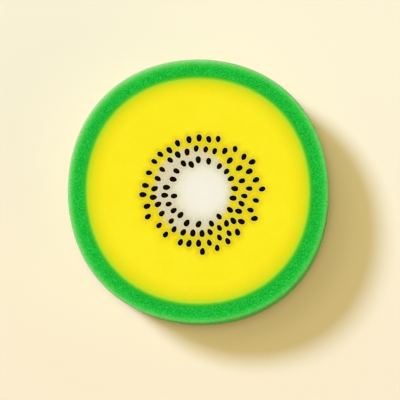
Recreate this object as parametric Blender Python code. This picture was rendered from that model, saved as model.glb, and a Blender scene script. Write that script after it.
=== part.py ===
"""A round foam bath sponge, cut and coloured like a slice of golden kiwi fruit.

A green foam rind is glued round a yellow foam disc, and a white foam plug is glued into
a bore through the disc. The disc is laminated: a face layer is glued on a thick base, and
a thin black sheet lies in the underside of the face, with its seeds standing up through
holes in it.
Lengths are in metres, +Z is up, and the origin is the middle of the underside, where the
sponge rests.
"""

import math

import bmesh
import bpy
from mathutils import Matrix, Vector

# Driving sizes of the whole sponge
SPONGE_RADIUS = 0.060
SPONGE_THICKNESS = 0.030
RIND_WIDTH = 0.0084
RIND_ROUNDING = 0.003

# The joint between rind and flesh, and the joint between flesh and plug
SEAM_ROUNDING = 0.0008
GLUE_THICKNESS = 0.0005
GLUE_RECESS = 0.001
PIECE_GAP = 0.0003

# The white plug, set a little off the middle of the disc
CORE_RADIUS = 0.0100
CORE_OFFSET_X = 0.0023
CORE_OFFSET_Y = -0.0004
CORE_ROUNDING = 0.0004

# The face layer of the disc, and the sheet let into its underside
FACE_THICKNESS = 0.003
SEED_SHEET_THICKNESS = 0.001
SEED_SHEET_MARGIN = 0.001

# The seeds and the belt of the face that holds them, counted from the plug's joint
SEED_BELT_WIDTH = 0.0175
SEED_LENGTH = 0.0032
SEED_WIDTH = 0.0023
SEED_PROUD = 0.0004
SEED_TAPER_SHARE = 0.22
SEED_SHOULDER_SHARE = 0.62
SEED_SIZE_SPREAD_SHARE = 0.07

# How far the cut outline strays from a circle: four soft corners, and a slight oval
CORNER_SHARE = 0.010
CORNER_BEARING = math.radians(45)
OVAL_SHARE = 0.007
OVAL_BEARING = math.radians(102)

# How finely round shapes are divided
RIM_STEPS = 72
CORE_STEPS = 40
RIND_STEPS = 4
SEAM_STEPS = 2
SEED_SIDES = 8
SMOOTH_ANGLE = math.radians(35)
CUT_OVERRUN = 0.002

# Picture pixels, x to the right and y downward: the plug's middle, the distance from there
# to its joint and the distance to the far edge of the seed belt
CORE_CENTRE_PIXELS = (203.0, 191.5)
CORE_EDGE_PIXELS = 22.0
BELT_EDGE_PIXELS = 61.0

# Each seed's middle in picture pixels, and the lean of its long axis in degrees
# anticlockwise from the right
OUTER_ROW_PIXELS = (
    (177.6, 143.0, 110), (189.0, 139.4, 97), (199.1, 137.7, 86), (208.9, 139.2, 105),
    (218.2, 138.9, 90), (235.1, 149.1, 84), (243.9, 156.9, 65), (252.1, 162.1, 25),
    (249.2, 171.5, 28), (255.9, 180.1, 27), (262.1, 189.3, 20), (255.8, 200.6, 165),
    (250.4, 210.2, 165), (254.4, 218.7, 10), (241.3, 221.7, 157), (237.5, 232.2, 108),
    (227.8, 241.3, 118), (217.2, 247.9, 90), (209.3, 242.7, 110), (202.5, 251.5, 86),
    (198.7, 243.2, 90), (189.1, 243.3, 72), (180.6, 242.2, 65), (165.6, 234.4, 55),
    (159.2, 225.2, 45), (147.9, 216.4, 40), (147.1, 206.0, 20), (142.9, 194.4, 0),
    (145.4, 185.2, 175), (149.0, 172.5, 175), (154.3, 161.2, 150), (160.3, 154.0, 145),
    (169.4, 149.9, 130),
)
MIDDLE_ROW_PIXELS = (
    (177.9, 154.5, 122), (187.1, 151.9, 90), (196.2, 148.4, 80), (205.7, 149.4, 75),
    (214.7, 151.2, 75), (224.8, 151.0, 62), (229.7, 160.7, 50), (239.1, 168.3, 32),
    (241.8, 181.0, 20), (249.1, 188.7, 178), (244.2, 196.1, 170), (241.4, 203.7, 140),
    (238.5, 211.3, 165), (233.2, 220.8, 128), (226.5, 223.4, 95), (229.0, 233.3, 120),
    (219.4, 237.5, 117), (210.0, 232.0, 125), (202.1, 233.4, 90), (192.9, 232.9, 84),
    (183.4, 232.2, 55), (174.2, 229.1, 63), (171.4, 220.8, 45), (161.9, 213.3, 43),
    (158.1, 204.1, 32), (153.3, 197.1, 5), (154.6, 188.4, 25), (157.8, 178.4, 150),
    (162.3, 169.3, 145), (170.3, 159.9, 140),
)
INNER_ROW_PIXELS = (
    (183.6, 163.4, 125), (191.4, 164.5, 120), (198.3, 159.8, 94), (208.7, 161.3, 88),
    (219.3, 166.3, 55), (226.4, 171.6, 48), (230.8, 178.8, 25), (234.6, 188.7, 172),
    (232.9, 198.2, 175), (229.8, 209.8, 140), (219.0, 216.5, 130), (219.4, 227.8, 122),
    (211.4, 223.5, 118), (198.7, 224.0, 60), (186.9, 222.8, 57), (180.6, 214.8, 50),
    (173.8, 210.3, 35), (168.8, 203.9, 20), (174.2, 195.8, 10), (164.8, 195.1, 0),
    (166.6, 187.2, 0), (173.3, 179.1, 170), (176.6, 170.9, 150),
)
SEED_PIXELS = OUTER_ROW_PIXELS + MIDDLE_ROW_PIXELS + INNER_ROW_PIXELS

# Sizes that follow from the ones above
SEAM_RADIUS = SPONGE_RADIUS - RIND_WIDTH
HALF_GLUE = GLUE_THICKNESS / 2
RIND_INNER_RADIUS = SEAM_RADIUS + HALF_GLUE + PIECE_GAP
FLESH_RADIUS = SEAM_RADIUS - HALF_GLUE - PIECE_GAP
BORE_RADIUS = CORE_RADIUS + HALF_GLUE + PIECE_GAP
PLUG_RADIUS = CORE_RADIUS - HALF_GLUE - PIECE_GAP
SHEET_RADIUS = CORE_RADIUS + SEED_BELT_WIDTH + SEED_LENGTH / 2 + SEED_SHEET_MARGIN
FACE_UNDERSIDE = SPONGE_THICKNESS - FACE_THICKNESS
SHEET_TOP = FACE_UNDERSIDE + SEED_SHEET_THICKNESS
FILM_TOP = FACE_UNDERSIDE - PIECE_GAP
FILM_UNDERSIDE = FILM_TOP - GLUE_THICKNESS
BASE_TOP = FILM_UNDERSIDE - PIECE_GAP
METRES_PER_PIXEL = SEED_BELT_WIDTH / (BELT_EDGE_PIXELS - CORE_EDGE_PIXELS)
CORE_CENTRE = Vector((CORE_OFFSET_X, CORE_OFFSET_Y, 0))


def clear_scene():
    for old in list(bpy.data.objects):
        bpy.data.objects.remove(old, do_unlink=True)


def linear(level):
    """One colour channel, from its screen level of 0 to 255 to linear light."""
    share = level / 255
    if share <= 0.04045:
        return share / 12.92
    return ((share + 0.055) / 1.055) ** 2.4


def material(name, screen_colour, roughness):
    made = bpy.data.materials.new(name)
    made.use_nodes = True
    shader = made.node_tree.nodes["Principled BSDF"]
    colour = [linear(level) for level in screen_colour]
    shader.inputs["Base Color"].default_value = (*colour, 1)
    shader.inputs["Roughness"].default_value = roughness
    shader.inputs["Metallic"].default_value = 0
    made.diffuse_color = (*colour, 1)
    return made


def add_object(name, shape, finish, parent, place):
    """Makes an object of a bmesh, smooth where it is round, under the sponge's empty."""
    bmesh.ops.recalc_face_normals(shape, faces=shape.faces)
    mesh = bpy.data.meshes.new(name)
    shape.to_mesh(mesh)
    shape.free()
    mesh.shade_smooth()
    mesh.set_sharp_from_angle(angle=SMOOTH_ANGLE)
    if finish:
        mesh.materials.append(finish)
    made = bpy.data.objects.new(name, mesh)
    bpy.context.scene.collection.objects.link(made)
    made.parent = parent
    made.location = place
    return made


def add_helper(name, shape, parent, place):
    """Makes a cutter or a mould of a bmesh, which shows only as wires and isn't a piece."""
    helper = add_object(name, shape, None, parent, place)
    helper.hide_render = True
    helper.display_type = "WIRE"
    return helper


def combine(target, helper, operation):
    """Cuts a helper's shape from a piece, or joins it on, as a step that stays on the piece.

    The helper's own bodies may overlap each other, as crowded seeds would.
    """
    step = target.modifiers.new(helper.name, "BOOLEAN")
    step.operation = operation
    step.solver = "EXACT"
    step.use_self = True
    step.object = helper


def corner(radius, height, rounding, first_degrees, steps):
    """Points of a quarter turn round a corner of a profile, given as (radius, height)."""
    points = []
    for step in range(steps + 1):
        angle = math.radians(first_degrees + 90 * step / steps)
        points.append((radius + rounding * math.cos(angle), height + rounding * math.sin(angle)))
    return points


def turned(profile, steps):
    """Spins a closed profile of (radius, height) points once round the Z axis."""
    shape = bmesh.new()
    points = [shape.verts.new((radius, 0, height)) for radius, height in profile]
    edges = [shape.edges.new((a, b)) for a, b in zip(points, points[1:] + points[:1])]
    bmesh.ops.spin(
        shape, geom=points + edges, axis=(0, 0, 1), cent=(0, 0, 0),
        angle=math.tau, steps=steps, use_merge=True,
    )
    return shape


def raised_rim(shape, rim, radius, height):
    """Extrudes a round rim up to a new radius and height, and returns the new rim."""
    grown = bmesh.ops.extrude_edge_only(shape, edges=rim)["geom"]
    for item in grown:
        if isinstance(item, bmesh.types.BMVert):
            outward = Vector((item.co.x, item.co.y, 0)).normalized()
            item.co = radius * outward + Vector((0, 0, height))
    return [item for item in grown if isinstance(item, bmesh.types.BMEdge)]


def stacked(levels, steps):
    """A closed round solid through (radius, height) levels, lowest first, with flat ends."""
    shape = bmesh.new()
    bmesh.ops.create_circle(shape, radius=levels[0][0], segments=steps)
    bmesh.ops.translate(shape, verts=shape.verts, vec=(0, 0, levels[0][1]))
    rim = shape.edges[:]
    for radius, height in levels[1:]:
        rim = raised_rim(shape, rim, radius, height)
    bmesh.ops.holes_fill(shape, edges=[edge for edge in shape.edges if edge.is_boundary])
    return shape


def hand_cut(shape):
    """Moves a shape's points in or out, so that its outline strays from a circle."""
    for point in shape.verts:
        bearing = math.atan2(point.co.y, point.co.x)
        corners = CORNER_SHARE * math.cos(4 * (bearing - CORNER_BEARING))
        oval = OVAL_SHARE * math.cos(2 * (bearing - OVAL_BEARING))
        point.co.x *= 1 + corners + oval
        point.co.y *= 1 + corners + oval
    return shape


def lower_rim(radius, rounding, steps):
    """Levels of a rounded rim that starts on the ground, at the foot of a wall."""
    return corner(radius - rounding, rounding, rounding, -90, steps)


def upper_rim(radius, rounding, steps):
    """Levels of a rounded rim that ends level with the sponge's top, at the head of a wall."""
    return corner(radius - rounding, SPONGE_THICKNESS - rounding, rounding, 0, steps)


def rind_ring(parent):
    inner, top = RIND_INNER_RADIUS + SEAM_ROUNDING, SPONGE_THICKNESS - SEAM_ROUNDING
    profile = lower_rim(SPONGE_RADIUS, RIND_ROUNDING, RIND_STEPS)
    profile += upper_rim(SPONGE_RADIUS, RIND_ROUNDING, RIND_STEPS)
    profile += corner(inner, top, SEAM_ROUNDING, 90, SEAM_STEPS)
    profile += corner(inner, SEAM_ROUNDING, SEAM_ROUNDING, 180, SEAM_STEPS)
    shape = hand_cut(turned(profile, RIM_STEPS))
    add_object("rind_ring", shape, material("green_foam", (26, 185, 55), 0.95), parent, (0, 0, 0))


def core_plug(parent):
    levels = lower_rim(PLUG_RADIUS, CORE_ROUNDING, SEAM_STEPS)
    levels += upper_rim(PLUG_RADIUS, CORE_ROUNDING, SEAM_STEPS)
    finish = material("white_foam", (246, 240, 222), 0.95)
    add_object("core_plug", stacked(levels, CORE_STEPS), finish, parent, CORE_CENTRE)


def flesh_base(parent, finish, bore):
    levels = lower_rim(FLESH_RADIUS, SEAM_ROUNDING, SEAM_STEPS) + [(FLESH_RADIUS, BASE_TOP)]
    shape = hand_cut(stacked(levels, RIM_STEPS))
    base = add_object("flesh_base", shape, finish, parent, (0, 0, 0))
    combine(base, bore, "DIFFERENCE")


def flesh_face(parent, finish, bore):
    levels = [(FLESH_RADIUS, FACE_UNDERSIDE)] + upper_rim(FLESH_RADIUS, SEAM_ROUNDING, SEAM_STEPS)
    shape = hand_cut(stacked(levels, RIM_STEPS))
    face = add_object("flesh_face", shape, finish, parent, (0, 0, 0))
    combine(face, bore, "DIFFERENCE")
    combine(face, recess_cutter(parent), "DIFFERENCE")
    combine(face, seed_hole_cutter(parent), "DIFFERENCE")


def bore_cutter(parent):
    """The bore for the plug, flared at both mouths by the plug's own rounding."""
    mouth = BORE_RADIUS + CORE_ROUNDING + CUT_OVERRUN
    levels = [
        (mouth, -CUT_OVERRUN),
        (BORE_RADIUS, CORE_ROUNDING),
        (BORE_RADIUS, SPONGE_THICKNESS - CORE_ROUNDING),
        (mouth, SPONGE_THICKNESS + CUT_OVERRUN),
    ]
    return add_helper("core_bore", stacked(levels, CORE_STEPS), parent, CORE_CENTRE)


def recess_cutter(parent):
    """The shallow recess for the seed sheet in the underside of the face."""
    radius = SHEET_RADIUS + PIECE_GAP
    levels = [(radius, FACE_UNDERSIDE - CUT_OVERRUN), (radius, SHEET_TOP + PIECE_GAP)]
    return add_helper("sheet_recess", stacked(levels, CORE_STEPS), parent, CORE_CENTRE)


def glue_band(radius, steps):
    """A thin upright band, which stops short of both faces of the sponge."""
    low, high = GLUE_RECESS, SPONGE_THICKNESS - GLUE_RECESS
    inner, outer = radius - HALF_GLUE, radius + HALF_GLUE
    return turned([(outer, low), (outer, high), (inner, high), (inner, low)], steps)


def glue_layers(parent, bore):
    finish = material("clear_glue", (205, 228, 96), 0.4)
    rind_band = hand_cut(glue_band(SEAM_RADIUS, RIM_STEPS))
    add_object("rind_glue_band", rind_band, finish, parent, (0, 0, 0))
    core_band = glue_band(CORE_RADIUS, CORE_STEPS)
    add_object("core_glue_band", core_band, finish, parent, CORE_CENTRE)
    film = hand_cut(stacked([(FLESH_RADIUS, FILM_UNDERSIDE), (FLESH_RADIUS, FILM_TOP)], RIM_STEPS))
    combine(add_object("face_glue_film", film, finish, parent, (0, 0, 0)), bore, "DIFFERENCE")


def seed_place(index, pixel_x, pixel_y, lean_degrees):
    """Turns, sizes and places one seed round the plug, its pointed end towards the plug."""
    across = pixel_x - CORE_CENTRE_PIXELS[0]
    upward = CORE_CENTRE_PIXELS[1] - pixel_y
    beyond_joint = math.hypot(across, upward) - CORE_EDGE_PIXELS
    reach = CORE_RADIUS + beyond_joint * METRES_PER_PIXEL
    middle = reach * Vector((across, upward, 0)).normalized()
    turn = math.radians(lean_degrees)
    if middle.dot(Vector((math.cos(turn), math.sin(turn), 0))) > 0:
        turn += math.pi
    size = 1 + SEED_SIZE_SPREAD_SHARE * math.sin(index)
    spread = Matrix.Diagonal((size, size, 1, 1))
    return Matrix.Translation(middle) @ Matrix.Rotation(turn, 4, "Z") @ spread


def seed_drops(levels, clearance):
    """One closed teardrop for each seed, through (share of its outline, height) levels."""
    shape = bmesh.new()
    for index, seed in enumerate(SEED_PIXELS):
        place = seed_place(index, *seed)
        rings = [seed_ring(shape, place, clearance, *level) for level in levels]
        for lower, upper in zip(rings, rings[1:]):
            for side, after in zip(range(SEED_SIDES), [*range(1, SEED_SIDES), 0]):
                shape.faces.new((lower[side], lower[after], upper[after], upper[side]))
        shape.faces.new(rings[-1])
        shape.faces.new(rings[0][::-1])
    return shape


def seed_ring(shape, place, clearance, share, height):
    half_length = share * (SEED_LENGTH / 2 + clearance)
    half_width = share * (SEED_WIDTH / 2 + clearance)
    ring = []
    for side in range(SEED_SIDES):
        angle = math.tau * side / SEED_SIDES
        along = half_length * math.cos(angle)
        across = half_width * math.sin(angle) * (1 - SEED_TAPER_SHARE * math.cos(angle))
        ring.append(shape.verts.new(place @ Vector((along, across, height))))
    return ring


def seed_hole_cutter(parent):
    levels = [(1, FACE_UNDERSIDE), (1, SPONGE_THICKNESS + CUT_OVERRUN)]
    return add_helper("seed_holes", seed_drops(levels, PIECE_GAP), parent, CORE_CENTRE)


def seed_sheet(parent, bore):
    """The thin sheet in the face, with its seeds standing up just proud of the face."""
    sheet_shape = stacked([(SHEET_RADIUS, FACE_UNDERSIDE), (SHEET_RADIUS, SHEET_TOP)], CORE_STEPS)
    finish = material("black_seed", (15, 10, 5), 0.45)
    sheet = add_object("seed_sheet", sheet_shape, finish, parent, CORE_CENTRE)
    root = SHEET_TOP - SEED_SHEET_THICKNESS / 2
    crown = SPONGE_THICKNESS + SEED_PROUD
    levels = [(1, root), (1, SPONGE_THICKNESS), (SEED_SHOULDER_SHARE, crown)]
    combine(sheet, bore, "DIFFERENCE")
    combine(sheet, add_helper("seeds", seed_drops(levels, 0), parent, CORE_CENTRE), "UNION")


def main():
    clear_scene()
    sponge = bpy.data.objects.new("sponge", None)
    bpy.context.scene.collection.objects.link(sponge)
    bore = bore_cutter(sponge)
    yellow = material("yellow_foam", (250, 234, 36), 0.95)
    rind_ring(sponge)
    flesh_base(sponge, yellow, bore)
    flesh_face(sponge, yellow, bore)
    seed_sheet(sponge, bore)
    core_plug(sponge)
    glue_layers(sponge, bore)


main()
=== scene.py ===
# %% [markdown]
# # A foam bath sponge, cut like a slice of golden kiwi fruit
# The sponge is a block of soft foam: a green rind round a yellow disc, a white plug in the
# middle and a belt of black seeds. A solid model already gives every piece its place and
# size. Here each foam piece becomes a fine mesh with pores pressed into it, and each finish
# is built from shader nodes. Lengths are in metres, and the seeds face up.

import math
from cmath import rect

import bmesh
import bpy
from mathutils import Matrix, Vector, noise
from mathutils.bvhtree import BVHTree
from mathutils.kdtree import KDTree


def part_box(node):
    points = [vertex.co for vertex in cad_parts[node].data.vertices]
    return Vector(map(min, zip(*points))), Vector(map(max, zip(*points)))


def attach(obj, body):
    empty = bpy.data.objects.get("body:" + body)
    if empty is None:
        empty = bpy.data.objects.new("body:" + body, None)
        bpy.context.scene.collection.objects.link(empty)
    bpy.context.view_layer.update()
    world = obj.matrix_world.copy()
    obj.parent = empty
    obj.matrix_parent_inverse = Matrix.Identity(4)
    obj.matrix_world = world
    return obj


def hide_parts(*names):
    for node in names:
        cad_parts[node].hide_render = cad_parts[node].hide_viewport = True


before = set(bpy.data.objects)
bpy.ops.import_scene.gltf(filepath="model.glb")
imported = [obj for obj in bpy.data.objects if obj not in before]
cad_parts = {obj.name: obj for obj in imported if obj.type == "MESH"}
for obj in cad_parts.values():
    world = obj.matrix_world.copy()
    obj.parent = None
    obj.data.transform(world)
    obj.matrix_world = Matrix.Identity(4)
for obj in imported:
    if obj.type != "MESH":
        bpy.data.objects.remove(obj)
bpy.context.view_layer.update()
print("solid model:", ", ".join(sorted(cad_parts)))

# %% [markdown]
# ## From photograph to metres
# The photograph looks almost straight down, so one scale serves the whole top face. It is
# the width of the solid sponge over the width of the photographed one. Places that only the
# photograph shows, such as the sprayed halo, are named in pixels and pass through it.

# %% Set the scale of the photograph
MM = 0.001
PHOTO_SIDE_PIXELS = 400
SPONGE_MIDDLE_PIXELS = (197.85, 190.75)
SPONGE_WIDTH_PIXELS = 259.3

RIND_LOW, RIND_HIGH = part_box("rind_ring")
SPONGE_TOP = RIND_HIGH.z
PIXEL = (RIND_HIGH.x - RIND_LOW.x) / SPONGE_WIDTH_PIXELS


def photo_place(across_pixels, down_pixels, height=0.0):
    """The place on the sponge that a pixel of the photograph shows."""
    across = across_pixels - SPONGE_MIDDLE_PIXELS[0]
    up = SPONGE_MIDDLE_PIXELS[1] - down_pixels
    return Vector((across * PIXEL, up * PIXEL, height))


print(f"one pixel is {PIXEL / MM:.4f} mm")

# %% [markdown]
# ## The camera
# The walls show as a thin sliver at the lower right, so the camera stands a few degrees that
# way from straight above. The sponge looks nearly undistorted, which takes a long lens from
# more than a metre away. The top of the picture is the sponge's +Y. The tilt foreshortens
# the face a little, which the enlargement makes up for.

# %% Place the camera
CAMERA_DISTANCE = 1.2
CAMERA_TILT = math.radians(5.2)
CAMERA_BEARING = math.radians(-57)
CAMERA_AIM_PIXELS = (200.0, 200.05)
ENLARGEMENT = 1.010


def way(bearing, height=0.0):
    """The unit vector towards a bearing, at an angle above the level."""
    level = math.cos(height)
    return Vector((level * math.cos(bearing), level * math.sin(bearing), math.sin(height)))


def placed(name, data):
    made = bpy.data.objects.new(name, data)
    bpy.context.scene.collection.objects.link(made)
    return made


def add_camera():
    backward = way(CAMERA_BEARING, math.tau / 4 - CAMERA_TILT)
    sideways = Vector((0, 1, 0)).cross(backward).normalized()
    turn = Matrix((sideways, backward.cross(sideways), backward)).transposed().to_4x4()
    data = bpy.data.cameras.new("camera")
    data.lens = ENLARGEMENT * data.sensor_width * CAMERA_DISTANCE / (PHOTO_SIDE_PIXELS * PIXEL)
    camera = placed("camera", data)
    middle = photo_place(*CAMERA_AIM_PIXELS, SPONGE_TOP)
    camera.matrix_world = Matrix.Translation(middle + CAMERA_DISTANCE * backward) @ turn
    bpy.context.scene.camera = camera
    print(f"camera lens {data.lens:.0f} mm, {CAMERA_DISTANCE} m away")


add_camera()

# %% [markdown]
# ## Colours and node helpers
# A colour picked from a picture is a screen level from 0 to 255, and a standard curve turns
# it into the linear light that a shader wants.
# Most nodes of a material are of a few kinds: a mix of two colours, a bit of arithmetic, a
# change of range. One short function for each keeps the graphs readable. Each takes plain
# values or the outputs of other nodes.

# %% Define colours and node helpers


def linear(level):
    share = level / 255
    return share / 12.92 if share <= 0.04045 else ((share + 0.055) / 1.055) ** 2.4


def colour(*levels):
    return (*(linear(level) for level in levels), 1.0)


def open_sockets(sockets):
    """The sockets in use, by name."""
    return {socket.name: socket for socket in sockets if socket.enabled}


def linked(values):
    """Those values that are outputs of other nodes."""
    return [value for value in values if isinstance(value, bpy.types.NodeSocket)]


def feed(value, socket):
    if linked([value]):
        socket.id_data.links.new(value, socket)
    else:
        socket.default_value = value


def new_node(kind, inputs=None, where=None, **modes):
    """The outputs by name of a new node, in the tree that its inputs or where are in."""
    inputs = inputs or {}
    tree = (where or linked(inputs.values())[0]).id_data
    node = tree.nodes.new("ShaderNode" + kind)
    for mode, choice in modes.items():
        setattr(node, mode, choice)
    for name, value in inputs.items():
        feed(value, open_sockets(node.inputs)[name])
    return open_sockets(node.outputs)


def mixed(factor, first, second, blend="MIX"):
    """The first colour where factor is 0, and the second where it is 1."""
    inputs = {"Factor": factor, "A": first, "B": second}
    return new_node("Mix", inputs, data_type="RGBA", blend_type=blend)["Result"]


def maths(operation, *values, kind="Math", where=None):
    """Arithmetic on numbers, or on vectors where the kind is VectorMath."""
    node = (where or linked(values)[0]).id_data.nodes.new("ShaderNode" + kind)
    node.operation = operation
    for value, socket in zip(values, node.inputs):
        feed(value, socket)
    return next(socket for socket in node.outputs if socket.enabled)


def times(first, second):
    return maths("MULTIPLY", first, second)


def eased(value, start, end, low=0.0, high=1.0):
    """Goes smoothly from low to high while the value goes from start to end."""
    inputs = {"Value": value, "From Min": start, "From Max": end, "To Min": low, "To Max": high}
    return new_node("MapRange", inputs, interpolation_type="SMOOTHSTEP")["Result"]


def noise_in(place, size, detail=2.0):
    """Soft noise whose blobs have a size, as a number and as a colour."""
    scale = maths("DIVIDE", 1.0, size, where=place)
    return new_node("TexNoise", {"Vector": place, "Scale": scale, "Detail": detail})


def wobble(place, size, detail=2.0):
    """Soft noise about zero."""
    return maths("SUBTRACT", noise_in(place, size, detail)["Fac"], 0.5)


def attribute(place, name):
    return new_node("Attribute", where=place, attribute_name=name)["Fac"]


def coloured_by(length_mm, stops):
    """A colour ramp over a length, with its (place in millimetres, screen colour) stops."""
    node = length_mm.id_data.nodes.new("ShaderNodeValToRGB")
    reach = stops[-1][0]
    points = node.color_ramp.elements
    while len(points) < len(stops):
        points.new(1.0)
    for point, (place, levels) in zip(points, stops):
        point.position = place / reach
        point.color = colour(*levels)
    feed(maths("DIVIDE", length_mm, reach), node.inputs["Fac"])
    return node.outputs["Color"]


def new_group(name, inputs, outputs):
    """An empty shader group with its own inputs and outputs, each a name, a kind and a value."""
    tree = bpy.data.node_groups.new(name, "ShaderNodeTree")
    for in_out, sockets in (("INPUT", inputs), ("OUTPUT", outputs)):
        for label, kind, *value in sockets:
            kind = "NodeSocket" + kind
            socket = tree.interface.new_socket(name=label, in_out=in_out, socket_type=kind)
            if value:
                socket.default_value = value[0]
    return tree, tree.nodes.new("NodeGroupInput").outputs, tree.nodes.new("NodeGroupOutput").inputs


def use_group(group, **values):
    """The outputs of a group in a material. Its inputs are named with underscores."""
    inputs = {name.replace("_", " ").title(): value for name, value in values.items()}
    return new_node("Group", inputs, node_tree=group)


def new_material(name, roughness=0.95, specular=0.1, sheen=0.0, sheen_roughness=0.5):
    """A material, dull as foam unless told, its shader's inputs and the place on the object."""
    made = bpy.data.materials.new(name)
    made.use_nodes = True
    shader = made.node_tree.nodes["Principled BSDF"].inputs
    labels = ("Roughness", "Specular IOR Level", "Sheen Weight", "Sheen Roughness")
    for label, value in zip(labels, (roughness, specular, sheen, sheen_roughness)):
        feed(value, shader[label])
    return made, shader, new_node("TexCoord", where=made.node_tree)["Object"]


# %% [markdown]
# ## The foam's look, as a shader group
# Sponge foam is a froth that set: bubbles that touch and share walls. A Voronoi texture
# divides space in the same way, so its cell edges stand for the struts and its cells for the
# pores. Three outputs serve every foam: the height for the bump, the pores that lie in shade,
# and a random mask of cells that catch the light. Noise first stirs the place a little,
# because real bubbles aren't flat-sided.

# %% Build the foam cell group
STIR_SHARE = 0.5
STRUT_SPAN = (0.04, 0.35)


def build_foam_cells():
    inputs = (("Place", "Vector"), ("Cell Size", "Float", 0.5 * MM), ("Fleck Share", "Float", 0.2))
    outputs = (("Height", "Float"), ("Pore", "Float"), ("Fleck", "Float"))
    tree, given, wanted = new_group("foam_cells", inputs, outputs)
    size = given["Cell Size"]
    stir = noise_in(given["Place"], size)["Color"]
    reach = times(size, STIR_SHARE)
    stirred = maths("MULTIPLY_ADD", stir, reach, given["Place"], kind="VectorMath")
    sampled = {"Vector": stirred, "Scale": maths("DIVIDE", 1.0, size)}
    walls = new_node("TexVoronoi", sampled, feature="DISTANCE_TO_EDGE")["Distance"]
    pore = eased(walls, *STRUT_SPAN)
    chance = new_node("SeparateColor", {"Color": new_node("TexVoronoi", sampled)["Color"]})
    threshold = maths("SUBTRACT", 1.0, given["Fleck Share"])
    feed(pore, wanted["Pore"])
    feed(maths("SUBTRACT", 1.0, pore), wanted["Height"])
    feed(eased(chance["Red"], threshold, 1.0), wanted["Fleck"])
    return tree


FOAM_CELLS = build_foam_cells()

# %% [markdown]
# ## Drifting tints and wandering edges
# Dyed foam is never one even colour: the tint drifts over centimetres, by a mask of soft
# noise. Where two colours of foam are glued, the dye creeps across the joint. A colour ramp
# over the distance from the joint shows that, once noise has made the distance wander.

# %% Build the tint groups
DRIFT_SPAN = (0.3, 0.7)
WANDER_SIZE = 1.5 * MM


def build_drifting_tint():
    inputs = (("Place", "Vector"), ("Size", "Float", 10 * MM))
    tree, given, wanted = new_group("drifting_tint", inputs, (("Mask", "Float"),))
    drift = noise_in(given["Place"], given["Size"])["Fac"]
    feed(eased(drift, *DRIFT_SPAN), wanted["Mask"])
    return tree


def build_wandering_edge():
    inputs = (("Place", "Vector"), ("Distance", "Float", 0.0), ("Wander", "Float", 0.3))
    tree, given, wanted = new_group("wandering_edge", inputs, (("Distance", "Float"),))
    stray_share = wobble(given["Place"], WANDER_SIZE)
    moved = maths("MULTIPLY_ADD", stray_share, given["Wander"], given["Distance"])
    feed(maths("MAXIMUM", moved, 0.0), wanted["Distance"])
    return tree


DRIFTING_TINT = build_drifting_tint()
WANDERING_EDGE = build_wandering_edge()
print("shader groups:", ", ".join(group.name for group in bpy.data.node_groups))


def drift_mask(place, size):
    return use_group(DRIFTING_TINT, place=place, size=size)["Mask"]


def edge_distance(place, joint_mm, wander):
    return use_group(WANDERING_EDGE, place=place, distance=joint_mm, wander=wander)["Distance"]


# %% [markdown]
# ## Reading the outline from the solid
# The sponge was cut by hand round a template, so its outline strays from a circle: four soft
# corners and a slight oval. The solid has that outline in straight steps. Rays find its wall
# at each step, and two terms of a Fourier series give the smooth curve through them.

# %% Read the outline
OUTLINE_STEPS = 72
STRAY_WAVES = (2, 4)
RAY_START = 0.2


def wall_radius(tree, bearing, height, inner):
    """How far the outermost wall is from the Z axis, or the innermost one."""
    outward = way(bearing)
    start = Vector((0, 0, height)) + (0 if inner else RAY_START) * outward
    return tree.ray_cast(start, outward if inner else -outward)[0].xy.length


def read_outline(node, inner=False):
    """The mean radius of a node's wall, and the waves in it as shares of that radius."""
    tree = BVHTree.FromObject(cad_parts[node], bpy.context.evaluated_depsgraph_get())
    bearings = [math.tau * step / OUTLINE_STEPS for step in range(OUTLINE_STEPS)]
    low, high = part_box(node)
    radii = [wall_radius(tree, bearing, (low.z + high.z) / 2, inner) for bearing in bearings]
    mean = sum(radii) / OUTLINE_STEPS
    waves = {}
    for count in STRAY_WAVES:
        terms = [radius * rect(1, -count * bearing) for radius, bearing in zip(radii, bearings)]
        waves[count] = 2 * sum(terms) / OUTLINE_STEPS / mean
    return mean, waves


RIND_RADIUS, WAVES = read_outline("rind_ring")
print(f"rind {RIND_RADIUS / MM:.2f} mm in radius")
print("stray of the outline:", {count: round(abs(wave), 4) for count, wave in WAVES.items()})


def stray(place):
    """How many times as wide as a circle the cut outline is towards a place."""
    bearing = math.atan2(place.y, place.x)
    return 1 + sum((wave * rect(1, count * bearing)).real for count, wave in WAVES.items())


def cut_by_hand(shape):
    """Moves a round shape's points out or in, to the cut outline."""
    for point in shape.verts:
        share = stray(point.co)
        point.co.x *= share
        point.co.y *= share


def template_radius(place):
    """How far from the Z axis a place was before the cut strayed."""
    return place.xy.length / stray(place)


# %% [markdown]
# ## Sizes of the joints
# The glue band between rind and flesh stops short of both faces, and each foam wall stays
# just clear of it. Past its edge the two foams swell into lips that all but touch. They lean
# over, so that what is seen between them is foam just below and not a deep, dark slot. The
# plug in its bore does the same.

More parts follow.
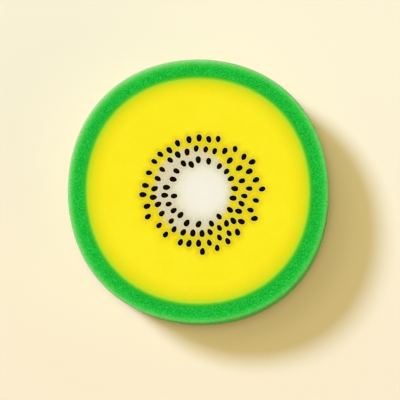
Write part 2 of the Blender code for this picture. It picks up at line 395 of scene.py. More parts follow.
# %% Work out the joints
SOFT_GAP = 0.02 * MM
LIP_GAP = 0.005 * MM
LIP_LEAN = 0.2 * MM
LIP_DEPTH = 0.3 * MM
FLESH_RADIUS = read_outline("flesh_face")[0]
SEAM_RADIUS = (FLESH_RADIUS + read_outline("rind_ring", inner=True)[0]) / 2
HALF_GLUE = read_outline("rind_glue_band")[0] - SEAM_RADIUS
GLUE_LOW, GLUE_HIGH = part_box("rind_glue_band")
CORE_LOW, CORE_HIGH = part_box("core_plug")
CORE_CENTRE = Vector(((CORE_LOW.x + CORE_HIGH.x) / 2, (CORE_LOW.y + CORE_HIGH.y) / 2, 0))
CORE_JOINT_RADIUS = (CORE_HIGH.x - CORE_LOW.x) / 2 + SEAM_RADIUS - FLESH_RADIUS
JOINT_LOW, JOINT_HIGH = GLUE_LOW.z - SOFT_GAP, GLUE_HIGH.z + SOFT_GAP
print(f"rind joint at {SEAM_RADIUS / MM:.2f} mm, plug joint at {CORE_JOINT_RADIUS / MM:.2f} mm")


def lip(radius, lean, glue_end, face):
    """A lip's corners from the end of the glue to its face, where it leans to the radius."""
    depth = math.copysign(LIP_DEPTH, face - glue_end)
    return [(radius + lean, glue_end), (radius + lean, face - depth), (radius, face)]


def joint_distance(place):
    """How far a place is from the joint of rind and flesh, in millimetres."""
    return abs(template_radius(place) - SEAM_RADIUS) / MM


# %% [markdown]
# ## From a section to a round solid
# A turned solid is drawn as half its section, as a few corners. Where the first of them are
# rounded, a vertex bevel on the flat face does that. Edges that will show are then divided,
# and a spin carries the outline round. A disc's section reaches the axis, where the spun
# copies meet in one point and are merged.

# %% Define section and spin
MERGE = 0.001 * MM
SHARP_ANGLE = math.radians(40)


def section(corners, rounded=0, rounding=0.0, steps=0):
    """The wire outline through (radius, height) corners, on the XZ plane."""
    shape = bmesh.new()
    points = [shape.verts.new((radius, 0, height)) for radius, height in corners]
    shape.faces.new(points)
    for point in points[:rounded]:
        bmesh.ops.bevel(
            shape, geom=[point], offset=rounding, offset_type="OFFSET", segments=steps,
            profile=0.5, affect="VERTICES", material=-1,
        )
    bmesh.ops.delete(shape, geom=shape.faces[:], context="FACES_ONLY")
    on_axis = [edge for edge in shape.edges if max(point.co.x for point in edge.verts) < MERGE]
    bmesh.ops.delete(shape, geom=on_axis, context="EDGES")
    return shape


def divide(shape, longest, shown):
    """Divides the edges whose middle shows, until none is longer than asked."""
    for edge in shape.edges[:]:
        cuts = math.ceil(edge.calc_length() / longest) - 1
        if cuts > 0 and shown((edge.verts[0].co + edge.verts[1].co) / 2):
            bmesh.ops.subdivide_edges(shape, edges=[edge], cuts=cuts)


def spin(shape, steps):
    bmesh.ops.spin(
        shape, geom=shape.verts[:] + shape.edges[:], axis=(0, 0, 1), cent=(0, 0, 0),
        angle=math.tau, steps=steps, use_merge=True,
    )
    bmesh.ops.remove_doubles(shape, verts=shape.verts, dist=MERGE)
    bmesh.ops.recalc_face_normals(shape, faces=shape.faces)
    return shape


def shade(mesh):
    """Shades a mesh smooth, but not over its sharp edges."""
    mesh.shade_smooth()
    mesh.set_sharp_from_angle(angle=SHARP_ANGLE)


def new_piece(name, shape):
    """A shaded object of a bmesh, which is used up."""
    mesh = bpy.data.meshes.new(name)
    shape.to_mesh(mesh)
    shape.free()
    shade(mesh)
    return placed(name, mesh)


def report(piece):
    triangles = sum(len(face.vertices) - 2 for face in piece.data.polygons)
    print(f"{piece.name}: {triangles} triangles")
    return piece


# %% [markdown]
# ## Pressing pores into the surface
# Bump alone leaves a smooth mesh, so the larger pores are real dents. Each point looks up the
# two nearest centres of a cell pattern. Their distances differ most in a cell's middle and
# are alike on the wall between two cells, so the difference is a ready-made dent. It is kept
# as an attribute, with which the material paints shade into the dents. Slow noise takes a
# little more off, because a soft block is never dead flat. Beside a joint both fade out, so
# that two lips meet level.

# %% Define the pore press
DENT_EDGE_SHARE = 0.55
WAVE_LENGTH = 14 * MM
JOINT_CALM = 0.5 * MM
JOINT_RECOVERY = 2.2 * MM


def dent_share(place, size):
    near = noise.voronoi(place / size)[0]
    return min(1.0, (near[1] - near[0]) / DENT_EDGE_SHARE)


def press_pores(shape, strength, size, depth, sag):
    """Presses pores into a shape's surface, as strongly at a place as strength says."""
    shape.normal_update()
    kept = shape.verts.layers.float.new("pore")
    for point in shape.verts:
        share = dent_share(point.co, size)
        point[kept] = share
        slow = sag * (0.5 + 0.5 * noise.noise(point.co / WAVE_LENGTH))
        point.co -= strength(point.co) * (share * depth + slow) * point.normal
        point.co.z = max(point.co.z, 0.0)


def calm_near(distance):
    """Grows softly from 0 at a joint to 1 a little way from it."""
    share = max(0.0, min(1.0, (distance - JOINT_CALM) / JOINT_RECOVERY))
    return share * share * (3 - 2 * share)


# %% [markdown]
# ## The rind
# The rind is a ring of dyed foam. Its section has two rounded rims outside, and inside the
# wall beside the glue, between lips that lean over the flesh's. That wall is out of sight, so
# it stays undivided. Elsewhere, points half a millimetre apart hold the pores. Two distances
# are kept for the material: from the joint, and from the crest of the nearer rim. On the side
# away from the key lamp the crest counts as a little farther away, so that the pale rim is
# painted fainter there, as painted shade.

# %% Model the rind
RIM_ROUNDING = 1.15 * MM
RIM_STEPS = 4
RIND_STEPS = 820
RIND_GRAIN = 0.46 * MM
RIND_PRESS = {"size": 1.25 * MM, "depth": 0.07 * MM, "sag": 0.1 * MM}
WALL_WEIGHT = 3
# Painted shade: on the side away from the key lamp the pale rim is kept fainter by this shift.
SHADED_RIM_SHIFT = 0.6 * MM
SHADED_RIM_BEARING = math.radians(-55)


def rim_distance(place):
    """How far a place is from the nearer rim's crest in millimetres, weighted down the wall,
    and made larger away from the key lamp, which paints shade on the pale rim.
    """
    inset = RIM_ROUNDING * (1 - math.sqrt(0.5))
    down = min(place.z, SPONGE_TOP - place.z) - inset
    across = template_radius(place) - (RIND_RADIUS - inset)
    kept = math.cos(math.atan2(place.y, place.x) - SHADED_RIM_BEARING)
    return (math.hypot(across, max(down, WALL_WEIGHT * down)) + SHADED_RIM_SHIFT * kept * abs(kept)) / MM


def model_rind():
    wall, edge = SEAM_RADIUS + HALF_GLUE + SOFT_GAP, SEAM_RADIUS + LIP_GAP
    corners = (
        (RIND_RADIUS, 0), (RIND_RADIUS, SPONGE_TOP),
        *reversed(lip(edge, LIP_LEAN, JOINT_HIGH, SPONGE_TOP)), (wall, JOINT_HIGH),
        (wall, JOINT_LOW), *lip(edge, LIP_LEAN, JOINT_LOW, 0),
    )
    shape = section(corners, rounded=2, rounding=RIM_ROUNDING, steps=RIM_STEPS)
    divide(shape, RIND_GRAIN, shown=lambda middle: middle.x > wall + MERGE)
    spin(shape, RIND_STEPS)
    cut_by_hand(shape)
    for name, distance in (("joint_mm", joint_distance), ("rim_mm", rim_distance)):
        kept = shape.verts.layers.float.new(name)
        for point in shape.verts:
            point[kept] = distance(point.co)
    press_pores(shape, lambda place: calm_near(template_radius(place) - SEAM_RADIUS), **RIND_PRESS)
    return new_piece("rind_foam", shape)


rind_foam = report(model_rind())

# %% [markdown]
# ## The seeds
# Each seed is a drop of black rubber, pointed towards the core. The solid's flat crowns are
# the only faces above the sponge's top, one for each seed. Merging the loose triangles makes
# each crown one island. Its point farthest from its middle gives the long axis. The new seeds
# get the same places and sizes, with a rounded back.

# %% Find the seeds
CROWN_SHARE = 0.62
CROWN_DEPTH = 0.01 * MM
SHEET_LOW, SHEET_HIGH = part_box("seed_sheet")


def crown_islands():
    """The points of each seed's flat crown, one list for each seed."""
    shape = bmesh.new()
    shape.from_mesh(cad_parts["seed_sheet"].data)
    bmesh.ops.remove_doubles(shape, verts=shape.verts, dist=MERGE)
    left = {point for point in shape.verts if point.co.z > SHEET_HIGH.z - CROWN_DEPTH}
    islands = []
    while left:
        first = min(left, key=lambda point: point.index)
        left.remove(first)
        found, fresh = [], [first]
        while fresh:
            point = fresh.pop()
            found.append(point.co.copy())
            for edge in point.link_edges:
                other = edge.other_vert(point)
                if other in left:
                    left.remove(other)
                    fresh.append(other)
        islands.append(found)
    shape.free()
    return islands


def seed_place(crown):
    """A seed's middle, the turn of its pointed end, and half its length and width."""
    middle = sum(crown, Vector()) / len(crown)
    tip = max(crown, key=lambda point: (point - middle).length)
    axis = (tip - middle).xy
    if axis.dot((CORE_CENTRE - middle).xy) < 0:
        axis = -axis
    across = Vector((-axis.y, axis.x)).normalized()
    half_width = max((point - middle).xy.dot(across) for point in crown) / CROWN_SHARE
    turn = math.atan2(axis.y, axis.x)
    return middle, turn, axis.length / CROWN_SHARE, half_width


SEEDS = sorted((seed_place(crown) for crown in crown_islands()), key=lambda seed: tuple(seed[0]))
print(len(SEEDS), "seeds, the first", [round(part / MM, 2) for part in SEEDS[0][2:]], "mm")

# %% [markdown]
# ## Modelling a seed
# A seed starts as a circle, is pinched to a drop towards one end, and its rim is extruded up
# in rings that narrow along a quarter ellipse. Each back tilts a little its own way, so that
# the belt doesn't look stamped: the sine of a few times a seed's number never repeats, and
# is the same in each run. A straight drop that is a little larger cuts the seed's hole.

# %% Model the seeds
SEED_SIDES = 20
SEED_RINGS = 5
SEED_TAPER_SHARE = 0.13
SEED_TILT = math.radians(3)
SHEET_TOP = SPONGE_TOP - 2 * MM
SEED_SHOULDER = SPONGE_TOP - 0.05 * MM


def drop_rim(shape, seed, clearance):
    """A drop-shaped ring of points, flat on the ground and turned like the seed."""
    middle, turn, half_length, half_width = seed
    made = bmesh.ops.create_circle(shape, radius=1, segments=SEED_SIDES)["verts"]
    for point in made:
        pinch = 1 - SEED_TAPER_SHARE * point.co.x
        along = point.co.x * (half_length + clearance)
        point.co = Vector((along, point.co.y * pinch * (half_width + clearance), 0))
    place = Matrix.Translation((middle.x, middle.y, 0)) @ Matrix.Rotation(turn, 4, "Z")
    bmesh.ops.transform(shape, matrix=place, verts=made)
    return made, list({edge for point in made for edge in point.link_edges})


def only(kind, items):
    return [item for item in items if isinstance(item, kind)]


def add_drop(shape, seed, clearance, levels):
    """One closed drop: its rim is extruded through (height, share of its width) levels."""
    centre = seed[0].xy
    points, rim = drop_rim(shape, seed, clearance)
    bmesh.ops.translate(shape, verts=points, vec=(0, 0, levels[0][0]))
    first, last_share = rim, 1
    for height, share in levels[1:]:
        grown = bmesh.ops.extrude_edge_only(shape, edges=rim)["geom"]
        upper, rim = only(bmesh.types.BMVert, grown), only(bmesh.types.BMEdge, grown)
        for point in upper:
            flat = centre + share / last_share * (point.co.xy - centre)
            point.co = Vector((flat.x, flat.y, height))
        points += upper
        last_share = share
    bmesh.ops.edgeloop_fill(shape, edges=first)
    bmesh.ops.edgeloop_fill(shape, edges=rim)
    return points


def dome_levels(root):
    """Straight sides up to the shoulder, then a quarter ellipse with a small flat on top."""
    levels = [(root, 1), (SEED_SHOULDER, 1)]
    for ring in range(1, SEED_RINGS + 1):
        angle = math.tau / 4 * ring / (SEED_RINGS + 0.5)
        rise = (SHEET_HIGH.z - SEED_SHOULDER) * math.sin(angle)
        levels.append((SEED_SHOULDER + rise, math.cos(angle)))
    return levels


def seed_drops(levels, clearance, tilt):
    """All the seeds as closed drops in one bmesh, with tilted backs."""
    shape = bmesh.new()
    for number, seed in enumerate(SEEDS):
        back = add_drop(shape, seed, clearance, levels)[2 * SEED_SIDES:]
        lean = Vector((math.sin(5 * number), math.cos(3 * number), 0)).normalized()
        turn = Matrix.Rotation(tilt * math.sin(7 * number), 3, lean)
        bmesh.ops.rotate(shape, verts=back, cent=seed[0], matrix=turn)
    bmesh.ops.recalc_face_normals(shape, faces=shape.faces)
    return shape


# %% [markdown]
# ## Cutting and joining solids
# A Boolean modifier cuts one solid from another or joins the two. It is applied at once, and
# its helper is removed. Cutters reach past what they cut, and the round ones stand about the
# plug's axis.

# %% Define cuts and round solids
OVERRUN = 1 * MM
ROUND_STEPS = 180


def combine(piece, helper, operation="DIFFERENCE"):
    """Cuts or joins a piece with a helper, which is used up."""
    step = piece.modifiers.new(helper.name, "BOOLEAN")
    step.operation = operation
    step.solver = "EXACT"
    step.object = helper
    ready = piece.evaluated_get(bpy.context.evaluated_depsgraph_get())
    mesh = bpy.data.meshes.new_from_object(ready)
    piece.modifiers.clear()
    piece.data = mesh
    bpy.data.objects.remove(helper)


def turned(name, corners):
    """A round solid of (radius, height) corners about the plug's axis."""
    shape = spin(section(corners), ROUND_STEPS)
    bmesh.ops.translate(shape, verts=shape.verts, vec=CORE_CENTRE)
    return new_piece(name, shape)


def cylinder(name, radius, low, high):
    return turned(name, ((0, low), (radius, low), (radius, high), (0, high)))


# %% [markdown]
# ## Joining the seeds to their sheet
# As on the solid model, the seeds stand on a thin black sheet under the face, which keeps
# them one body. Two attributes follow: a tint of its own for each seed, and how near a point
# is to the crest of its seed, where the material paints a highlight. A search tree finds the
# seed that a point belongs to.

# %% Join the seeds and the sheet
SHEET_RADIUS = (SHEET_HIGH.x - SHEET_LOW.x) / 2


def search_tree(places):
    tree = KDTree(len(places))
    for number, place in enumerate(places):
        tree.insert(place, number)
    tree.balance()
    return tree


SEED_TREE = search_tree([(seed[0].x, seed[0].y, 0) for seed in SEEDS])


def seed_tint(place):
    number = SEED_TREE.find((place.x, place.y, 0))[1]
    return 0.5 + 0.5 * math.sin(11 * number)


def seed_crest(place):
    number, distance = SEED_TREE.find((place.x, place.y, 0))[1:]
    return max(0.0, 1 - distance / SEEDS[number][2])


def keep_values(piece, **measures):
    """Keeps measures of each point of a finished mesh, for its material."""
    for name, measure in measures.items():
        kept = piece.data.attributes.new(name, "FLOAT", "POINT")
        for point in piece.data.vertices:
            kept.data[point.index].value = measure(point.co)


def model_seeds():
    piece = cylinder("seeds", SHEET_RADIUS, SHEET_LOW.z, SHEET_TOP)
    bore = CORE_JOINT_RADIUS + HALF_GLUE + SOFT_GAP
    combine(piece, cylinder("bore", bore, SHEET_LOW.z - OVERRUN, SHEET_TOP + OVERRUN))
    drops = seed_drops(dome_levels((SHEET_LOW.z + SHEET_TOP) / 2), 0, SEED_TILT)
    combine(piece, new_piece("drops", drops), "UNION")
    shade(piece.data)
    keep_values(piece, tint=seed_tint, crest=seed_crest)
    return piece


seeds = report(model_seeds())

# %% [markdown]
# ## Foam blocks and cutters
# The flesh and the plug are made as the real ones are: a block of foam first, then a cutter
# that takes outline, bore and holes out of it in one go. The block has a fine, even grid on
# both faces, so its pores come out alike everywhere. The cutter's edges are marked as sharp
# again afterwards.

# %% Define blocks and cutters
FLESH_STEPS = 360


def foam_block(half_side, low, high, grain):
    """A square block with an even grid of points on its lower and upper face."""
    shape = bmesh.new()
    steps = round(2 * half_side / grain)
    bmesh.ops.create_grid(shape, x_segments=steps, y_segments=steps, size=half_side)
    bmesh.ops.translate(shape, verts=shape.verts, vec=(0, 0, low))
    raised = bmesh.ops.extrude_face_region(shape, geom=shape.faces[:])["geom"]
    points = only(bmesh.types.BMVert, raised)
    bmesh.ops.translate(shape, verts=points, vec=(0, 0, high - low))
    bmesh.ops.recalc_face_normals(shape, faces=shape.faces)
    return shape


def lipped_end(wall, edge, lean, joint, face, overrun=OVERRUN):
    """The corners from the end of the glue over a lip to the axis, past the lip's face."""
    end = face + math.copysign(overrun, face - joint)
    return [(wall, joint), *lip(edge, lean, joint, face), (edge, end), (0, end)]


def core_solid(name, side):
    """A solid with the plug's outline where side is -1, and with its bore's where it is 1."""
    wall = CORE_JOINT_RADIUS + side * (HALF_GLUE + SOFT_GAP)
    edge = CORE_JOINT_RADIUS + side * LIP_GAP
    below = lipped_end(wall, edge, -LIP_LEAN, JOINT_LOW, 0, 2 * OVERRUN)
    above = lipped_end(wall, edge, -LIP_LEAN, JOINT_HIGH, SPONGE_TOP, 2 * OVERRUN)
    return turned(name, below[::-1] + above)


def flesh_disc(name, low, high):
    """The flesh between two heights, cut by hand and bored, with a lip at each outer face."""
    wall, edge = SEAM_RADIUS - HALF_GLUE - SOFT_GAP, SEAM_RADIUS - LIP_GAP
    below, above = [(wall, low), (0, low)], [(wall, high), (0, high)]
    if low < JOINT_LOW:
        below = lipped_end(wall, edge, LIP_LEAN, JOINT_LOW, low)
    if high > JOINT_HIGH:
        above = lipped_end(wall, edge, LIP_LEAN, JOINT_HIGH, high)
    shape = spin(section(below[::-1] + above), FLESH_STEPS)
    cut_by_hand(shape)
    piece = new_piece(name, shape)
    combine(piece, core_solid("bore", 1))
    return piece


def calm_at_joints(place):
    """How strongly the flesh and the plug are pressed at a place."""
    from_rind = SEAM_RADIUS - template_radius(place)
    from_core = abs((place - CORE_CENTRE).xy.length - CORE_JOINT_RADIUS)
    return calm_near(min(from_rind, from_core))


def cut_out(name, block, cutter, **press):
    """Presses pores into a block, and cuts a piece out of it."""
    press_pores(block, calm_at_joints, **press)
    piece = new_piece(name, block)
    combine(piece, cutter, "INTERSECT")
    shade(piece.data)
    return piece


# %% [markdown]
# ## The face of the flesh
# The yellow face is a three millimetre layer with a bore for the plug, a recess below for
# the seed sheet and a hole for each seed. Its lips lean back under those of the rind and the
# plug. Three distances are kept for the material: to the joint with the rind, to the edge of
# the nearest seed, and to the third nearest seed, which is small only in among the seeds.

# %% Model the face
FACE_GRAIN = 0.45 * MM
FACE_PRESS = {"size": 0.95 * MM, "depth": 0.03 * MM, "sag": 0.12 * MM}
HOLE_CLEARANCE = 0.03 * MM


def seed_edge_distance():
    """Gives the distance from a place to the edge of the nearest seed, in millimetres."""
    shape = bmesh.new()
    for seed in SEEDS:
        drop_rim(shape, seed, 0)
    tree = search_tree([point.co for point in shape.verts])
    shape.free()
    return lambda place: tree.find((place.x, place.y, 0))[2] / MM


def seed_crowding(place):
    """The distance from a place to the third nearest seed, in millimetres."""
    return SEED_TREE.find_n((place.x, place.y, 0), 3)[-1][2] / MM


def model_face():
    low, high = (corner.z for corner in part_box("flesh_face"))
    cutter = flesh_disc("face_cutter", low, high)
    recess = cylinder("recess", SHEET_RADIUS + SOFT_GAP, low - OVERRUN, SHEET_TOP + SOFT_GAP)
    combine(cutter, recess)
    levels = [(SHEET_TOP - OVERRUN / 2, 1), (high + 3 * OVERRUN, 1)]
    combine(cutter, new_piece("holes", seed_drops(levels, HOLE_CLEARANCE, 0)))
    block = foam_block(SEAM_RADIUS + 2 * OVERRUN, low - OVERRUN, high, FACE_GRAIN)
    piece = cut_out("face_foam", block, cutter, **FACE_PRESS)
    keep_values(piece, joint_mm=joint_distance, seed_mm=seed_edge_distance(), crowd_mm=seed_crowding)
    return piece


face_foam = report(model_face())

# %% [markdown]
# ## The base of the flesh and the plug
# Under the face lies the thick base of the same foam. Only its underside can be seen, with
# the sponge turned over, so its grid is coarser. The white plug is the finest foam. It fills
# its bore from face to face, with lips at both ends that lean over the glue and the flesh.

# %% Model the base and the plug
BASE_GRAIN = 0.75 * MM
BASE_PRESS = {"size": 1.6 * MM, "depth": 0.09 * MM, "sag": 0}
CORE_GRAIN = 0.35 * MM
CORE_PRESS = {"size": 0.8 * MM, "depth": 0.02 * MM, "sag": 0.1 * MM}


def model_base():
    low, high = (corner.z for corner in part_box("flesh_base"))
    cutter = flesh_disc("base_cutter", low, high)
    block = foam_block(SEAM_RADIUS + 2 * OVERRUN, low, high + OVERRUN, BASE_GRAIN)
    piece = cut_out("base_foam", block, cutter, **BASE_PRESS)
    keep_values(piece, joint_mm=joint_distance)
    return piece


def model_core():
    block = foam_block(CORE_JOINT_RADIUS + 2 * OVERRUN, 0, SPONGE_TOP, CORE_GRAIN)
    bmesh.ops.translate(block, verts=block.verts, vec=CORE_CENTRE)
    return cut_out("core_foam", block, core_solid("core_cutter", -1), **CORE_PRESS)


base_foam = report(model_base())
core_foam = report(model_core())

# %% [markdown]
# ## The sprayed middle
# A second colour was sprayed on the finished face: a beige ring, a little left of the plug,
# that fades to white over it. Face and plug both need it, so it is a group. The distance
# from the plug's axis drives a colour ramp, and an ellipse read from the photograph says
# where the beige ends. Peach blotches show in it, but none over the plug. Close to a seed it
# lies in a faint shade. A span is a pair of lengths over which something comes or goes.

# %% Build the sprayed middle
HALO_CENTRE = photo_place(192.5, 190.8)
HALO_RADII = (37.2 * PIXEL, 41.4 * PIXEL)
HALO_EDGE_SPAN = (0.9, 1.1)
HALO_WOBBLE = 0.16
HALO_PEACH = colour(234, 202, 168)
PEACH_SPAN_MM = (11.0, 15.0)
PEACH_SHARE = 0.45
HALO_SHADE = colour(243, 248, 245)
GLOW_STOPS = (
    (0.0, (249, 244, 225)), (5.9, (247, 242, 223)), (8.7, (246, 240, 217)), (10.0, (243, 236, 210)),
    (11.4, (239, 232, 205)), (12.8, (236, 228, 198)), (14.1, (232, 223, 190)), (16.0, (230, 220, 186)),
    (20.0, (229, 219, 182)),
)


def length_from(place, centre, radii=(1.0, 1.0)):
    """The distance from an upright axis, in shares of the two radii."""
    inputs = {"Vector": place, "Location": (centre.x, centre.y, 0), "Scale": (*radii, 1)}
    moved = new_node("Mapping", inputs, vector_type="TEXTURE")["Vector"]
    flat = maths("MULTIPLY", moved, (1, 1, 0), kind="VectorMath")
    return maths("LENGTH", flat, kind="VectorMath")


def build_sprayed_middle():
    inputs = (("Place", "Vector"), ("Ground", "Color"), ("Shade", "Float", 0.0))
    tree, given, wanted = new_group("sprayed_middle", inputs, (("Colour", "Color"),))
    place = given["Place"]
    share = length_from(place, HALO_CENTRE, HALO_RADII)
    share = maths("MULTIPLY_ADD", wobble(place, 2.5 * MM, detail=3.0), HALO_WOBBLE, share)
    sprayed = eased(share, *HALO_EDGE_SPAN, low=1.0, high=0.0)
    reach_mm = maths("DIVIDE", length_from(place, CORE_CENTRE), MM)
    blotch = drift_mask(place, size=1.6 * MM)
    peach = times(blotch, eased(reach_mm, *PEACH_SPAN_MM, high=PEACH_SHARE))
    glow = mixed(peach, coloured_by(reach_mm, GLOW_STOPS), HALO_PEACH)
    glow = mixed(given["Shade"], glow, HALO_SHADE, "MULTIPLY")
    feed(mixed(sprayed, given["Ground"], glow), wanted["Colour"])
    return tree


SPRAYED_MIDDLE = build_sprayed_middle()

# %% [markdown]
# ## Finishing the green foam
# The rind's foam is the coarsest: pores show as dark specks and cut struts as light ones.
# Yellow dye bleeds into it at the joint. Towards the rims the green is painted pale:
# partly thin, frayed foam and partly painted sheen, fainter on the side away from the key
# lamp as painted shade. The shader's sheen adds the light that fine fibres catch at a
# grazing view. Down the wall, most near the floor, an olive tint is painted warm light
# bounced off the floor.
# Light that foam throws on the floor has passed many cell walls, so it is olive and not
# green: Light Path tells the rays that have bounced, and they find that colour instead.

# %% Make the green foam
GREEN_STOPS = (
    (0.0, (102, 203, 40)), (0.8, (41, 197, 42)), (2.2, (16, 200, 47)), (4.2, (17, 204, 50)),
    (6.8, (23, 218, 60)),
)
GREEN_FLECK = colour(68, 240, 100)
FLECK_STRENGTH = 0.85
GRAIN_SPAN_MM = (0.2, 1.5)
# The rim is painted pale: partly paler frayed foam, partly painted sheen.
FRAY_AND_SHEEN_GRAIN_LOSS = 0.6
RIM_PALE_AND_SHEEN_STOPS = ((0.0, (174, 226, 146)), (0.5, (171, 240, 142)), (1.6, (166, 255, 138)))
RIM_REACH_MM = 4.1
RIM_FALLOFF = 3.0
RIM_STREAK_SHARE = 0.84
# Painted light: warm light bounced off the floor, painted olive low on the wall.
PAINTED_FLOOR_BOUNCE = colour(158, 170, 50)
WALL_SPAN_MM = (7.0, 8.2)
BOUNCE_SPAN_MM = (1.0, 22.0)
BOUNCE_SHARE = 0.3
PORE_SHADE = colour(110, 110, 110)
BOUNCED_OLIVE = colour(165, 172, 60)
BUMP_DISTANCE = 0.15 * MM


def shaded_pores(base, pore, amount):
    return mixed(times(pore, amount), base, PORE_SHADE, "MULTIPLY")


def add_bump(shader, height, strength):
    inputs = {"Strength": strength, "Distance": BUMP_DISTANCE, "Height": height}
    feed(new_node("Bump", inputs)["Normal"], shader["Normal"])


def floor_bounce_share(place, joint_mm):
    """How much painted floor bounce the wall gets: only on the wall, and most near the floor."""
    height_mm = maths("DIVIDE", new_node("SeparateXYZ", {"Vector": place})["Z"], MM)
    low = eased(height_mm, *BOUNCE_SPAN_MM, low=BOUNCE_SHARE, high=0.0)
    return times(low, eased(joint_mm, *WALL_SPAN_MM))


def fray_and_sheen_share(place, rim_mm):
    """How pale the rim is painted, as frayed foam and painted sheen: most at the crest, in streaks."""
    near = maths("SUBTRACT", 1.0, maths("DIVIDE", rim_mm, RIM_REACH_MM))
    fray_and_sheen = maths("POWER", maths("MAXIMUM", near, 0.0), RIM_FALLOFF)
    rim_streaks = drift_mask(place, size=1.4 * MM)
    return times(fray_and_sheen, eased(rim_streaks, 0.0, 1.0, low=RIM_STREAK_SHARE))


def make_green_foam():
    made, shader, place = new_material("green_foam", sheen=0.22, sheen_roughness=0.4)
    joint_mm, rim_mm = attribute(place, "joint_mm"), attribute(place, "rim_mm")
    cells = use_group(FOAM_CELLS, place=place, cell_size=0.32 * MM, fleck_share=0.45)
    base = coloured_by(edge_distance(place, joint_mm, wander=0.3), GREEN_STOPS)
    base = shaded_pores(base, drift_mask(place, size=9 * MM), amount=0.06)
    # Painted floor bounce: an olive tint low on the wall.
    base = mixed(floor_bounce_share(place, joint_mm), base, PAINTED_FLOOR_BOUNCE)
    # The pale rim: frayed foam and painted sheen, with painted shade away from the key lamp.
    fray_and_sheen = fray_and_sheen_share(place, rim_mm)
    base = mixed(fray_and_sheen, base, coloured_by(rim_mm, RIM_PALE_AND_SHEEN_STOPS))
    grain = maths("SUBTRACT", eased(joint_mm, *GRAIN_SPAN_MM), times(fray_and_sheen, FRAY_AND_SHEEN_GRAIN_LOSS))
    base = mixed(times(times(cells["Fleck"], grain), FLECK_STRENGTH), base, GREEN_FLECK)
    base = shaded_pores(base, times(cells["Pore"], grain), amount=0.72)
    base = shaded_pores(base, attribute(place, "pore"), amount=0.12)
    bounced = new_node("LightPath", where=place)["Is Diffuse Ray"]
    feed(mixed(bounced, base, BOUNCED_OLIVE), shader["Base Color"])
    add_bump(shader, cells["Height"], strength=0.55)
    return made


# %% [markdown]
# ## Finishing the yellow foam
# The flesh is a finer foam. Towards the rind it turns olive and then green. Round the seeds
# it is a deeper yellow, greener close by, with touches of orange between them and a thin pale
# line round each, where the foam was cut.

# %% Make the yellow foam
YELLOW_STOPS = (
    (0.0, (104, 203, 40)), (0.5, (152, 219, 46)), (1.0, (187, 227, 47)), (1.9, (216, 224, 27)),
    (2.8, (230, 228, 23)), (4.2, (239, 231, 26)), (6.0, (249, 234, 30)), (9.0, (255, 239, 33)),
)
YELLOW_DRIFT = colour(255, 252, 220)
BELT_YELLOW = colour(240, 222, 16)
BELT_ORANGE = colour(254, 206, 14)
BELT_GREEN = colour(220, 209, 14)
BELT_GREEN_SPAN_MM = (0.3, 1.9)
BELT_SPAN_MM = (0.7, 3.6)
CROWD_SPAN_MM = (5.2, 7.4)
SEED_EDGE = colour(255, 246, 150)
SEED_EDGE_SPAN_MM = (0.1, 0.5)
SEED_SHADE_SPAN_MM = (0.9, 2.2)


def seed_belt(place, base, seed_mm):
    """The deeper yellow round the seeds, with its touches of orange and green."""
    between = mixed(drift_mask(place, size=1.5 * MM), BELT_YELLOW, BELT_ORANGE)
    green = eased(seed_mm, *BELT_GREEN_SPAN_MM, low=0.85, high=0.0)
    tint = mixed(green, between, BELT_GREEN)
    crowded = eased(attribute(place, "crowd_mm"), *CROWD_SPAN_MM, low=1.0, high=0.45)
    reach = times(eased(seed_mm, *BELT_SPAN_MM, low=1.0, high=0.0), crowded)
    return mixed(reach, base, tint)


def make_yellow_foam(name, with_seeds):
    made, shader, place = new_material(name, sheen=0.1)
    cells = use_group(FOAM_CELLS, place=place, cell_size=0.42 * MM, fleck_share=0.2)
    drift = drift_mask(place, size=12 * MM)
    edge = edge_distance(place, attribute(place, "joint_mm"), wander=0.5)
    base = mixed(drift, coloured_by(edge, YELLOW_STOPS), YELLOW_DRIFT, "MULTIPLY")
    if with_seeds:
        seed_mm = attribute(place, "seed_mm")
        base = seed_belt(place, base, seed_mm)
        shade_share = eased(seed_mm, *SEED_SHADE_SPAN_MM, low=1.0, high=0.0)
        base = use_group(SPRAYED_MIDDLE, place=place, ground=base, shade=shade_share)["Colour"]
        pale = eased(seed_mm, *SEED_EDGE_SPAN_MM, low=0.5, high=0.0)
        base = mixed(pale, base, SEED_EDGE)
    feed(shaded_pores(base, cells["Pore"], amount=0.07), shader["Base Color"])
    add_bump(shader, cells["Height"], strength=0.2)
    return made


# %% [markdown]
# ## Finishing the plug, the seeds and the glue
# The plug takes the sprayed glow and the faintest pores. The seeds are near-black rubber,
# some warmer and some greener, with a touch of painted highlight on the crest. The glue dried
# clear, tinted by the foams beside it, with whiter streaks.

# %% Make the other finishes
CORE_WHITE = colour(244, 238, 215)
SEED_WARM = colour(20, 3, 0)
SEED_COOL = colour(4, 7, 0)
# Painted highlight on each seed's crest.
SEED_CREST_HIGHLIGHT = colour(24, 14, 3)
HIGHLIGHT_START = 0.35
HIGHLIGHT_SHARE = 0.6
LIME_GLUE = colour(190, 222, 70)
CREAM_GLUE = colour(240, 234, 210)
WHITE = colour(255, 255, 255)
STREAK_SHARE = 0.3


def make_white_foam():
    made, shader, place = new_material("white_foam", sheen=0.1)
    cells = use_group(FOAM_CELLS, place=place, cell_size=0.36 * MM, fleck_share=0.1)
    base = use_group(SPRAYED_MIDDLE, place=place, ground=CORE_WHITE)["Colour"]
    feed(shaded_pores(base, cells["Pore"], amount=0.05), shader["Base Color"])
    add_bump(shader, cells["Height"], strength=0.12)
    return made


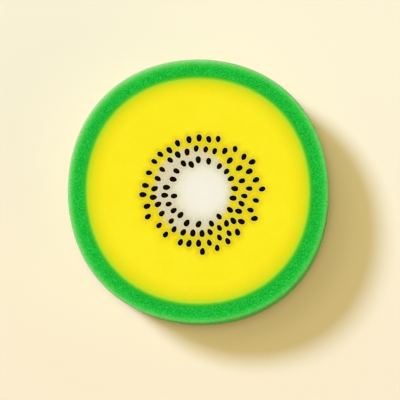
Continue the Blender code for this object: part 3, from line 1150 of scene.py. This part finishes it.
def make_seed_rubber():
    made, shader, place = new_material("seed_rubber", roughness=0.5, specular=0.015)
    base = mixed(attribute(place, "tint"), SEED_WARM, SEED_COOL)
    # Painted highlight: the crest of each seed is lightened.
    crest = eased(attribute(place, "crest"), HIGHLIGHT_START, 1.0, high=HIGHLIGHT_SHARE)
    grain = noise_in(place, 0.5 * MM, detail=3.0)["Fac"]
    feed(mixed(times(crest, grain), base, SEED_CREST_HIGHLIGHT), shader["Base Color"])
    feed(eased(grain, *DRIFT_SPAN, low=0.42, high=0.6), shader["Roughness"])
    add_bump(shader, grain, strength=0.15)
    return made


def make_glue(name, tint):
    made, shader, place = new_material(name, roughness=0.4, specular=0.4)
    streaks = drift_mask(place, size=3 * MM)
    feed(mixed(times(streaks, STREAK_SHARE), tint, WHITE), shader["Base Color"])
    feed(eased(streaks, 0.0, 1.0, low=0.3, high=0.5), shader["Roughness"])
    return made


# %% [markdown]
# ## Giving each piece its finish
# A new piece hides the solid pieces it stands for and rides on the sponge's one body. The
# glue bands keep their solid shape and only change their material.

# %% Dress the sponge


def dress(piece, material, slot, *nodes):
    piece.data.materials.clear()
    piece.data.materials.append(material)
    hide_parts(*nodes)
    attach(piece, "root")


def finish_node(node, material):
    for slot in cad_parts[node].material_slots:
        slot.material = material


dress(rind_foam, make_green_foam(), "green_foam", "rind_ring")
dress(face_foam, make_yellow_foam("yellow_foam_face", True), "yellow_foam", "flesh_face")
dress(base_foam, make_yellow_foam("yellow_foam_base", False), "yellow_foam", "flesh_base")
dress(core_foam, make_white_foam(), "white_foam", "core_plug")
dress(seeds, make_seed_rubber(), "black_seed", "seed_sheet")
lime_glue = make_glue("lime_glue", LIME_GLUE)
finish_node("rind_glue_band", lime_glue)
finish_node("face_glue_film", lime_glue)
finish_node("core_glue_band", make_glue("cream_glue", CREAM_GLUE))
print("materials:", ", ".join(sorted(material.name for material in bpy.data.materials)))

# %% [markdown]
# ## Floor, lamps and sky
# A cool key lamp shines from the upper left. The warm fill comes from two softboxes above, a
# low card for the shaded wall and an even sky, which alone would darken the floor all round
# the sponge. How wide a lamp looks sets how fast its shadow blurs. On open level ground all
# shares add up to one, at which a colour renders as it is written. The cream floor is a
# little deeper in colour towards the near side.

# %% Light the stage
FLOOR_CREAM = colour(252, 243, 214)
FLOOR_CREAM_NEAR = colour(251, 237, 205)
FLOOR_FADE = 0.09
FLOOR_HALF_SIDE = 6.0
FLOOR_DROP = 0.05 * MM
WARM_FILL = (0.625, 0.54, 0.31)
# Each lamp has its bearing and height in degrees, and its width in radians.
KEY_LAMP = (144, 44.5, 0.25)
FILL_LAMPS = (
    ("overhead_softbox", 0.51, (144, 90, 0.31)),
    ("leaning_softbox", 0.19, (144, 68, 0.41)),
    ("low_card", 0.07, (324, 14, 0.8)),
)


def add_floor():
    shape = bmesh.new()
    bmesh.ops.create_grid(shape, x_segments=1, y_segments=1, size=FLOOR_HALF_SIDE)
    bmesh.ops.translate(shape, verts=shape.verts, vec=(0, 0, -FLOOR_DROP))
    floor = new_piece("floor", shape)
    made, shader, place = new_material("cream_floor", roughness=1.0, specular=0.0)
    near = eased(new_node("SeparateXYZ", {"Vector": place})["Y"], FLOOR_FADE, -FLOOR_FADE)
    feed(mixed(near, FLOOR_CREAM, FLOOR_CREAM_NEAR), shader["Base Color"])
    floor.data.materials.append(made)


def add_lamp(name, level, bearing, height, width):
    """A soft sun, placed in degrees, that lights level ground by a share of each colour."""
    bearing, height = math.radians(bearing), math.radians(height)
    data = bpy.data.lights.new(name, "SUN")
    share = [part * math.pi / math.sin(height) for part in level]
    data.energy = max(share)
    data.color = [part / data.energy for part in share]
    data.angle = width
    placed(name, data).rotation_euler = way(bearing, height).to_track_quat("Z", "Y").to_euler()


def add_sky():
    """An even sky that lights by the rest of the fill's share, and shows as cream."""
    world = bpy.data.worlds.new("sky")
    world.use_nodes = True
    tree = world.node_tree
    lit = tree.nodes["Background"]
    share = 1 - sum(lamp[1] for lamp in FILL_LAMPS)
    lit.inputs["Color"].default_value = (*(share * part for part in WARM_FILL), 1)
    seen = new_node("Background", {"Color": FLOOR_CREAM}, where=tree)["Background"]
    rays = new_node("LightPath", where=tree)
    direct = maths("MAXIMUM", rays["Is Camera Ray"], rays["Is Glossy Ray"])
    direct = maths("MAXIMUM", direct, rays["Is Transmission Ray"])
    both = tree.nodes.new("ShaderNodeMixShader")
    for value, socket in zip((direct, lit.outputs["Background"], seen), both.inputs):
        feed(value, socket)
    feed(both.outputs["Shader"], tree.nodes["World Output"].inputs["Surface"])
    bpy.context.scene.world = world


add_floor()
add_lamp("key_lamp", [1 - part for part in WARM_FILL], *KEY_LAMP)
for lamp, share, place in FILL_LAMPS:
    add_lamp(lamp, [share * part for part in WARM_FILL], *place)
add_sky()
bpy.context.scene.view_settings.view_transform = "Standard"
